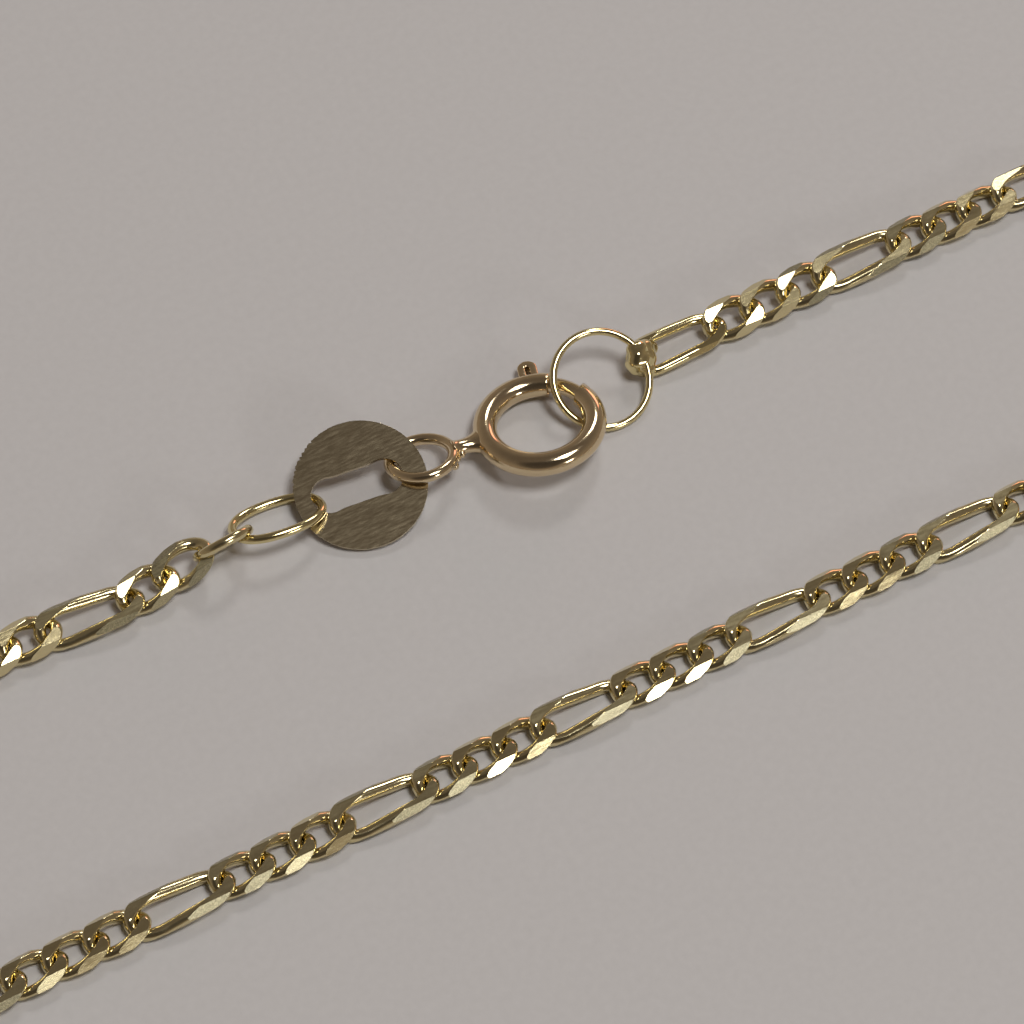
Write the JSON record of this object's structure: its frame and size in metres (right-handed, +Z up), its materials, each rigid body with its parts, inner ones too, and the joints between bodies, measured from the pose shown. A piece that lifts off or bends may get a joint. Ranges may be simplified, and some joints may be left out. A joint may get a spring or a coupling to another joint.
{
  "type": "figaro chain",
  "caption": "Fine figaro neck chain of flattened curb links, one long link then short ones, closed by a spring ring clasp beside a slotted round tag.",
  "frame": {"origin": "centre of the bounding box's bottom face, on the table inside the closed loop", "axes": "+X along the two strands towards the spring ring's end of the loop, +Y across the loop towards the clasp, +Z up from the table"},
  "size_m": [0.18, 0.038, 0.0022],
  "materials": {
    "chain_gold": "polished yellow gold with diamond-cut flats",
    "pale_gold": "polished drawn gold wire",
    "clasp_gold": "polished, slightly rosier gold tube",
    "tag_gold": "satin rolled gold sheet with tool marks"
  },
  "bodies": {
    "necklace": {"chain_right": "chain_gold", "chain_left": "chain_gold", "oval_ring": "pale_gold", "tag": "tag_gold", "clasp_body": "clasp_gold", "end_ring": "pale_gold"},
    "bolt": {"clasp_bolt": "clasp_gold"}
  },
  "joints": [
    {"name": "bolt_slide", "type": "hinge", "parent": "necklace", "child": "bolt", "pos_m": [0.00375, 0.00615, 0.00102], "axis": [0, 0.1977, 0.9803], "range_deg": [0, 38], "stiffness_Nm_per_rad": 0.0015, "springref_deg": -20.05}
  ]
}
